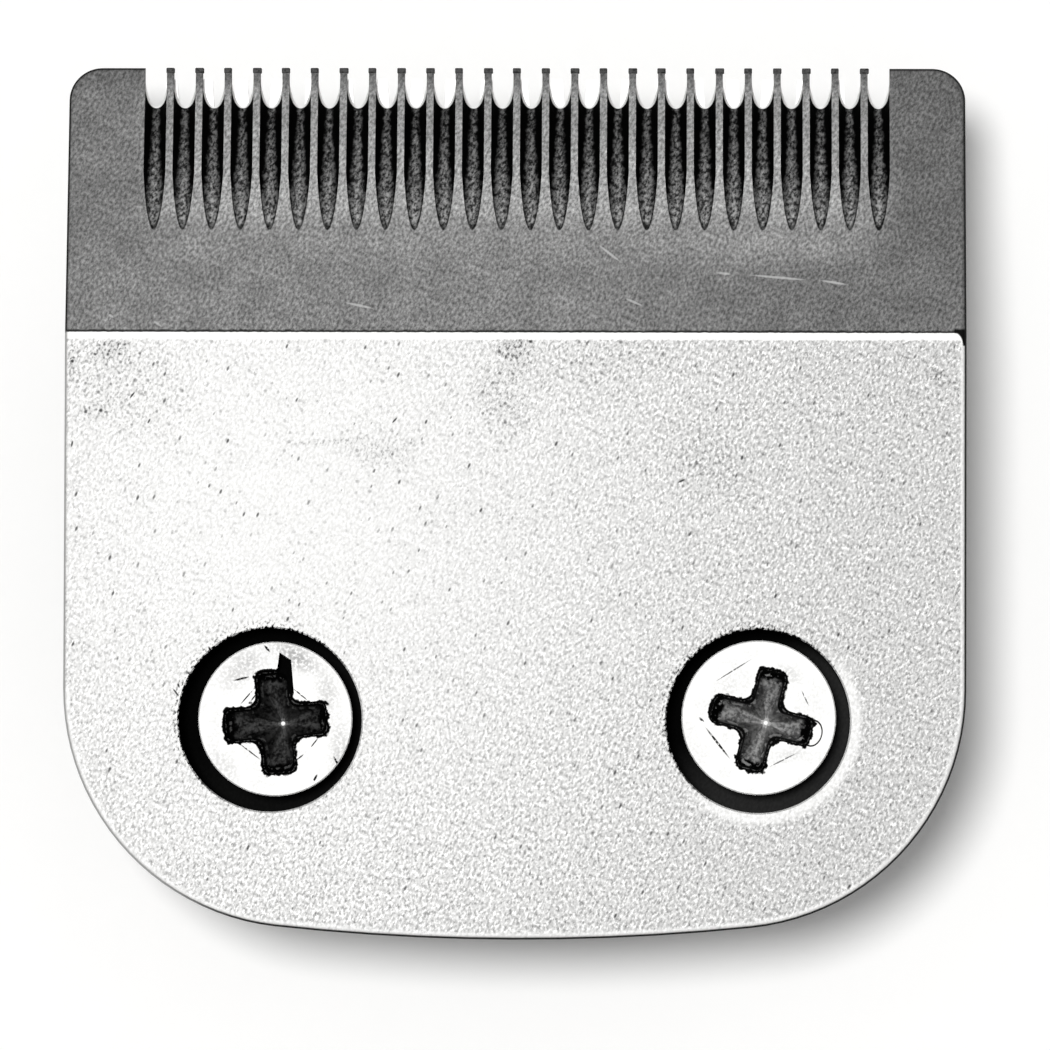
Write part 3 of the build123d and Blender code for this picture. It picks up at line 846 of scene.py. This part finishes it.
def tip_burrs():
    """Rolled burrs: a small rounded cap on each of the comb's tooth tips."""
    tip_z = FACE_Z - BEVEL_DROP
    caps = bmesh.new()
    for index in range(TOOTH_COUNT):
        swing = math.sin(BURR_WAVE * index)
        x = (index - (TOOTH_COUNT - 1) / 2) * TOOTH_PITCH + BURR_SHIFT * swing
        size = Vector((BURR_WIDTH * (1 + BURR_SWELL * swing), BURR_LENGTH, BURR_HEIGHT)) * MM
        centre = Vector((x, TIP_Y - BURR_LENGTH / 2, tip_z + BURR_OVERLAP - BURR_HEIGHT / 2)) * MM
        cap = bmesh.ops.create_cube(caps, size=1.0, matrix=Matrix.LocRotScale(centre, None, size))
        edges = {edge for vertex in cap["verts"] for edge in vertex.link_edges}
        rounding = BURR_ROUNDING * MM
        bmesh.ops.bevel(caps, geom=list(edges), offset=rounding, segments=3, profile=0.5, affect="EDGES")
    mesh = bpy.data.meshes.new("tip_burrs")
    caps.to_mesh(mesh)
    caps.free()
    mesh.shade_smooth()
    mesh.materials.append(burr_finish())
    burrs = bpy.data.objects.new("tip_burrs", mesh)
    bpy.context.scene.collection.objects.link(burrs)
    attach(burrs, "blade_frame")


tip_burrs()

# Floor: white paper that glows a little where it is seen, so that its open part comes out white
FLOOR_SIZE = 20.0
FLOOR_GLOW = 0.05
FLOOR_WHITES = (0.985, 0.995)
FLOOR_GRAIN = 3.0
half = FLOOR_SIZE / 2
floor_corners = [(-half, -half, 0), (half, -half, 0), (half, half, 0), (-half, half, 0)]
floor_data = bpy.data.meshes.new("floor")
floor_data.from_pydata(floor_corners, [], [(0, 1, 2, 3)])
floor = bpy.data.objects.new("floor", floor_data)
bpy.context.scene.collection.objects.link(floor)
paper = Finish("floor_paper")
white = paper.mix(paper.noise(FLOOR_GRAIN), *FLOOR_WHITES)
floor_data.materials.append(paper.finish(white, NEUTRAL, 0.0, 0.9))
paper.shader.inputs["Specular IOR Level"].default_value = 0.0
paper.shader.inputs["Emission Color"].default_value = (1.0, 1.0, 1.0, 1.0)
rays = paper.nodes.new("ShaderNodeLightPath").outputs
seen = paper.math("MAXIMUM", rays["Is Camera Ray"], rays["Is Glossy Ray"])
seen = paper.math("MAXIMUM", seen, rays["Is Transmission Ray"])
paper.feed(paper.shader.inputs["Emission Strength"], paper.math("MULTIPLY", seen, FLOOR_GLOW))

# Sky: soft light that grows with height from the horizon to the zenith.
# Two thirds of that rise reach the floor, so it is one and a half times what the floor needs from it.
SKY_LEVEL = 0.28
HORIZON_LEVEL = 0.1
ZENITH_LEVEL = HORIZON_LEVEL + 1.5 * (SKY_LEVEL - HORIZON_LEVEL)
world = bpy.data.worlds.new("studio")
bpy.context.scene.world = world
world.use_nodes = True
sky_nodes = world.node_tree.nodes
sky_links = world.node_tree.links
direction = sky_nodes.new("ShaderNodeTexCoord")
heights = sky_nodes.new("ShaderNodeSeparateXYZ")
sky_links.new(direction.outputs["Generated"], heights.inputs[0])
gradient = sky_nodes.new("ShaderNodeMapRange")
sky_links.new(heights.outputs["Z"], gradient.inputs["Value"])
gradient.inputs["To Min"].default_value = HORIZON_LEVEL
gradient.inputs["To Max"].default_value = ZENITH_LEVEL
sky_nodes["Background"].inputs["Color"].default_value = (1.0, 1.0, 1.0, 1.0)
sky_links.new(gradient.outputs["Result"], sky_nodes["Background"].inputs["Strength"])

# Lamp: soft, from the upper left. With the sky it lights the open floor to a level of about 1.
LAMP_TILT = math.radians(10.5)
LAMP_TURN = math.radians(51)
LAMP_ANGLE = 0.27
lamp_data = bpy.data.lights.new("lamp", "SUN")
lamp_data.energy = math.pi * (1 - SKY_LEVEL)
lamp_data.angle = LAMP_ANGLE
lamp = bpy.data.objects.new("lamp", lamp_data)
bpy.context.scene.collection.objects.link(lamp)
shine = Vector((math.sin(LAMP_TURN), -math.cos(LAMP_TURN), -1 / math.tan(LAMP_TILT)))
lamp.rotation_euler = shine.to_track_quat("-Z", "Y").to_euler()

# Camera: high above the skin face, a little to the right and to the rear
CAMERA_DISTANCE = 0.390
CAMERA_LEAN_X = math.radians(1.2)
CAMERA_LEAN_Y = math.radians(-2.2)
CAMERA_ROLL = 0.0022
VIEW_WIDTH = 0.05231
TARGET_X = 0.00052
TARGET_Y = -0.00121
target = Vector((TARGET_X, TARGET_Y, comb_high.z))
towards = Vector((math.sin(CAMERA_LEAN_X), math.sin(CAMERA_LEAN_Y), 1.0)).normalized()
camera_data = bpy.data.cameras.new("camera")
camera_data.sensor_fit = "AUTO"
camera_data.angle = 2 * math.atan(VIEW_WIDTH / 2 / CAMERA_DISTANCE)
camera_data.clip_start = 0.01
camera_data.clip_end = 100.0
camera = bpy.data.objects.new("camera", camera_data)
bpy.context.scene.collection.objects.link(camera)
right = Vector((1.0, CAMERA_ROLL, 0.0))
right = (right - towards * right.dot(towards)).normalized()
camera.rotation_euler = Matrix((right, towards.cross(right), towards)).transposed().to_euler()
camera.location = target + towards * CAMERA_DISTANCE
bpy.context.scene.camera = camera

bpy.context.scene.view_settings.view_transform = "Standard"
